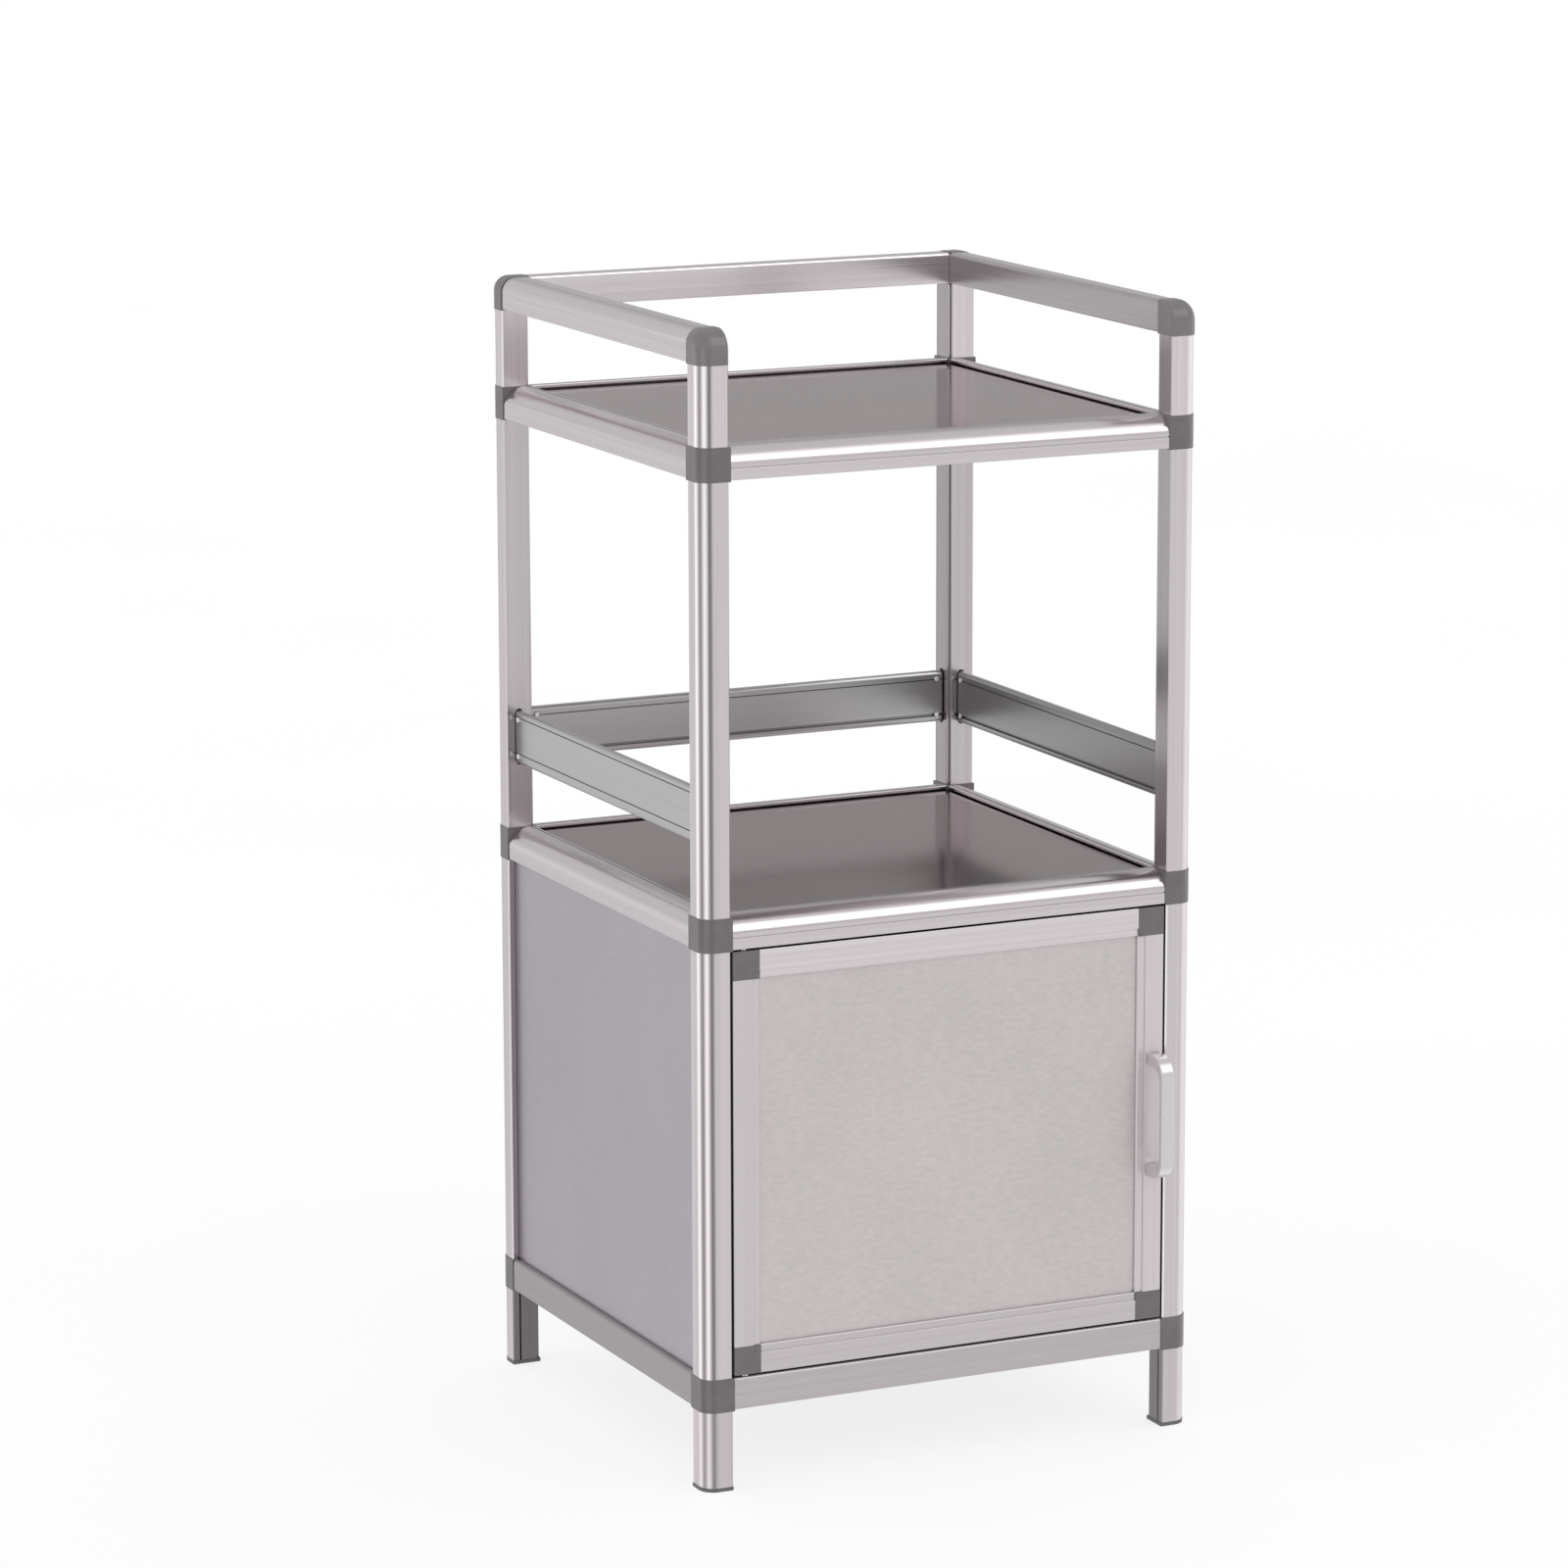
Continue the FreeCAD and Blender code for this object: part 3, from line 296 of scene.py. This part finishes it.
def brushed(name, scale, dark, light, gloss, height, reach=SHEET_REACH, glance=WHITE, metal=1.0):
    """Brushed sheet: short grain on a cloudy ground; glance is its tint at a flat angle."""
    material, tree, shader = new_material(name, Metallic=metal, Specular_Tint=(*glance, 1.0))
    grain = noise(tree, scale, detail=4.0, roughness=0.7)
    cloud = noise(tree, thrice(SHEET_CLOUDS), detail=2.0)
    tint = two_tone(tree, grain, dark, light, NARROW_MIDDLE)
    shade = two_tone(tree, cloud, thrice(CLOUD_SHADE), WHITE)
    # Painted shade in seams, gaps and grooves
    with_seam_shade = painted_seam_shade(tree, multiplied(tree, tint, shade), reach, METAL_SEAM_SHADE)
    tree.links.new(with_seam_shade, shader.inputs["Base Color"])
    join(tree, spread(tree, grain, *gloss), shader, "Roughness")
    relief(tree, shader, grain, height)
    return material


def plastic(name, dark, light, gloss, rounding=SMALL_EDGE, polish=0.0):
    """Moulded plastic with a fine pebbled skin and softened edges."""
    material, tree, shader = new_material(name, IOR=1.48, Coat_Weight=polish, Coat_Roughness=0.08)
    skin = noise(tree, thrice(PLASTIC_PEBBLES), detail=2.0)
    cloud = noise(tree, thrice(PLASTIC_CLOUDS), detail=2.0)
    # Painted shade in seams, gaps and grooves
    with_seam_shade = painted_seam_shade(tree, two_tone(tree, cloud, dark, light), SMALL_REACH, COATED_SEAM_SHADE)
    tree.links.new(with_seam_shade, shader.inputs["Base Color"])
    join(tree, spread(tree, skin, *gloss), shader, "Roughness")
    relief(tree, shader, skin, PEBBLE_HEIGHT, rounding)
    return material


def joint_moulding(name, dark, light):
    """The corner joints' plastic, which has a slight sheen."""
    return plastic(name, dark, light, gloss=(0.25, 0.33), rounding=JOINT_EDGE, polish=0.3)


def lacquer(name):
    """Silver lacquer: fine flakes under a clear coat."""
    material, tree, shader = new_material(name, Metallic=0.7, Coat_Weight=0.4, Coat_Roughness=0.1)
    flakes = noise(tree, thrice(LACQUER_FLAKES), detail=1.0)
    tint = two_tone(tree, flakes, dark=(0.71, 0.673, 0.683), light=(0.79, 0.752, 0.762))
    # Painted shade in seams, gaps and grooves
    with_seam_shade = painted_seam_shade(tree, tint, HANDLE_REACH, COATED_SEAM_SHADE)
    tree.links.new(with_seam_shade, shader.inputs["Base Color"])
    join(tree, spread(tree, flakes, *LACQUER_GLOSS), shader, "Roughness")
    relief(tree, shader, flakes, FLAKE_HEIGHT)
    return material


def plated(name, dark, light, metal=1.0):
    """Plated steel with a slightly uneven coat."""
    material, tree, shader = new_material(name, Metallic=metal)
    coat = noise(tree, thrice(PLATING_GRAIN), detail=4.0)
    # Painted shade in seams, gaps and grooves
    with_seam_shade = painted_seam_shade(tree, two_tone(tree, coat, dark, light), SMALL_REACH, METAL_SEAM_SHADE)
    tree.links.new(with_seam_shade, shader.inputs["Base Color"])
    join(tree, spread(tree, coat, *PLATING_GLOSS), shader, "Roughness")
    relief(tree, shader, coat, PLATING_HEIGHT, SMALL_EDGE)
    return material


def dress():
    """Give every CAD node its material, by the slot that the record names for it."""
    door_sheet = brushed(
        "door_sheet", scale=(120.0, 120.0, 300.0), dark=(0.596, 0.554, 0.556),
        light=(0.66, 0.614, 0.616), gloss=(0.3, 0.36), height=3e-6, metal=0.5)
    side_sheet = brushed(
        "side_sheet", scale=(900.0, 60.0, 900.0), dark=(0.506, 0.462, 0.514),
        light=(0.55, 0.502, 0.559), gloss=(0.28, 0.38), height=4e-6)
    shelf_sheet = brushed(
        "shelf_sheet", scale=(40.0, 900.0, 900.0), dark=(0.48, 0.438, 0.446),
        light=(0.53, 0.484, 0.492), gloss=(0.1, 0.15), height=2e-6,
        reach=SHELF_REACH, glance=(0.87, 0.825, 0.83))
    # Nodes with a finish of their own, where the front caps' lighter plastic is painted light, and then
    # the finishes of the slots
    apart = {
        "door_panel": door_sheet,
        "side_panel_left": side_sheet,
        "side_panel_right": side_sheet,
        "back_panel": side_sheet,
        # The joints' plastic made lighter on the front caps: painted light
        "top_front_joints": joint_moulding("cap_plastic_painted_light", (0.16, 0.144, 0.149), (0.184, 0.165, 0.171)),
        "foot_caps": plastic(
            "foot_plastic", (0.10, 0.10, 0.101), (0.125, 0.125, 0.126), gloss=(0.35, 0.5)),
        "guard_board_rivets": plated(
            "rivet_heads", (0.9, 0.895, 0.89), (0.97, 0.965, 0.96), metal=0.4),
    }
    finishes = {
        "steel_sheet": shelf_sheet,
        "joint_plastic": joint_moulding(
            "joint_plastic", (0.128, 0.115, 0.119), (0.147, 0.132, 0.137)),
        "dark_plastic": plastic(
            "dark_plastic", (0.03, 0.03, 0.031), (0.045, 0.045, 0.046), gloss=(0.4, 0.55)),
        "catch_plastic": plastic(
            "catch_plastic", (0.78, 0.78, 0.765), (0.84, 0.84, 0.83), gloss=(0.35, 0.45)),
        "handle_metal": lacquer("handle_metal"),
        "steel_fittings": plated("steel_fittings", (0.72, 0.715, 0.71), (0.82, 0.815, 0.81)),
    }
    slots = {item["node"]: item["material_slot"] for item in frame["record"]["subparts"]}
    for name, item in nodes.items():
        slot = slots[name]
        if slot == "profile_aluminium":
            axis = next(a for a, words in DRAWN_ALONG.items() if any(word in name for word in words))
            if name.startswith("guard_board"):
                material = smooth_board(axis)
            else:
                material = aluminium(next(kind for kind in PROFILES if name.startswith(kind)), axis)
        else:
            material = apart.get(name, finishes[slot])
        item.data.materials.clear()
        item.data.materials.append(material)


def ring(tree, turn, levels):
    """Brightness by azimuth, from stops in degrees."""
    ramp = add(tree, "ShaderNodeValToRGB")
    stops = ramp.color_ramp.elements
    while len(stops) < len(levels):
        stops.new(0.5)
    for stop, (angle, level) in zip(stops, levels):
        stop.position = (angle + 180.0) / 360.0
        stop.color = (*thrice(level), 1.0)
    join(tree, turn, ramp, "Fac")
    return ramp.outputs["Color"]


def fade(tree, share, first, second):
    """From the first colour to the second; either is a socket or a grey level."""
    item = add(tree, "ShaderNodeMix", data_type="RGBA")
    tree.links.new(share, item.inputs[MIX_SHARE])
    for socket, value in ((MIX_FIRST, first), (MIX_SECOND, second)):
        if isinstance(value, float):
            item.inputs[socket].default_value = (*thrice(value), 1.0)
        else:
            tree.links.new(value, item.inputs[socket])
    return item.outputs[MIX_RESULT]


def smooth(tree, value, low, high):
    """From 0 to 1, smoothly, as a value goes from low to high."""
    limits = {"From Min": low, "From Max": high}
    item = add(tree, "ShaderNodeMapRange", limits, interpolation_type="SMOOTHSTEP")
    tree.links.new(value, item.inputs["Value"])
    return item.outputs[0]


def negated(tree, split, axis):
    """One coordinate with its sign turned."""
    item = add(tree, "ShaderNodeMath", {1: -1.0}, operation="MULTIPLY")
    join(tree, split, item, 0, axis)
    return item


def lay_floor():
    """A pale floor that glows a little, so that the shadow on it stays faint."""
    bpy.ops.mesh.primitive_plane_add(size=FLOOR_SIZE)
    floor = bpy.context.object
    floor.name = "floor"
    floor.visible_glossy = False
    material, tree, shader = new_material(
        "pale_floor", Roughness=0.9, Emission_Strength=FLOOR_GLOW, Emission_Color=(*WHITE, 1.0))
    tint = two_tone(tree, noise(tree, thrice(FLOOR_CLOUDS)), *map(thrice, FLOOR_TONES))
    tree.links.new(tint, shader.inputs["Base Color"])
    floor.data.materials.append(material)


def light_studio():
    """Screens and walls round the object, a ceiling and a soft box overhead."""
    world = bpy.data.worlds.new("studio")
    scene.world = world
    world.use_nodes = True
    tree = world.node_tree
    place = add(tree, "ShaderNodeTexCoord")
    split = add(tree, "ShaderNodeSeparateXYZ")
    join(tree, place, split, "Vector", "Generated")
    azimuth = add(tree, "ShaderNodeMath", operation="ARCTAN2")
    join(tree, negated(tree, split, "X"), azimuth, 0)
    join(tree, negated(tree, split, "Y"), azimuth, 1)
    turn = spread(tree, azimuth, 0.0, 1.0, (-math.pi, math.pi))
    height = split.outputs["Z"]
    screens, walls = (ring(tree, turn, levels) for levels in (SCREENS, WALLS))
    light = fade(tree, smooth(tree, height, *WALLS_RISE), screens, walls)
    light = fade(tree, smooth(tree, height, *CEILING_RISE), light, CEILING)
    aim = Vector(SOFT_BOX_AT).normalized()
    toward = add(tree, "ShaderNodeVectorMath", {1: aim}, operation="DOT_PRODUCT")
    join(tree, place, toward, 0, "Generated")
    light = fade(tree, smooth(tree, toward.outputs["Value"], *SOFT_BOX_EDGE), light, SOFT_BOX)
    path = add(tree, "ShaderNodeLightPath")
    light = fade(tree, path.outputs["Is Diffuse Ray"], light, FILL)
    light = fade(tree, path.outputs["Is Camera Ray"], light, BACKDROP)
    tree.links.new(light, tree.nodes["Background"].inputs["Color"])


def set_camera():
    """The photo's view: the camera stands to the front left and looks a little downwards."""
    azimuth, pitch, roll = (math.radians(angle) for angle in CAMERA_ANGLES)
    ahead = Vector((math.sin(azimuth), math.cos(azimuth), 0.0))
    forward = math.cos(pitch) * ahead - math.sin(pitch) * Vector((0.0, 0.0, 1.0))
    level = Vector((math.cos(azimuth), -math.sin(azimuth), 0.0))
    down = forward.cross(level)
    right = math.cos(roll) * level + math.sin(roll) * down
    up = forward.cross(right) * -1.0
    camera = bpy.data.objects.new("camera", bpy.data.cameras.new("camera"))
    scene.collection.objects.link(camera)
    axes = Matrix((right, up, -forward)).transposed()
    camera.matrix_world = Matrix.Translation(CAMERA_AT) @ axes.to_4x4()
    camera.data.sensor_width = SENSOR_WIDTH
    camera.data.lens = LENS
    scene.camera = camera


dress()
lay_floor()
light_studio()
set_camera()
scene.view_settings.view_transform = "Standard"
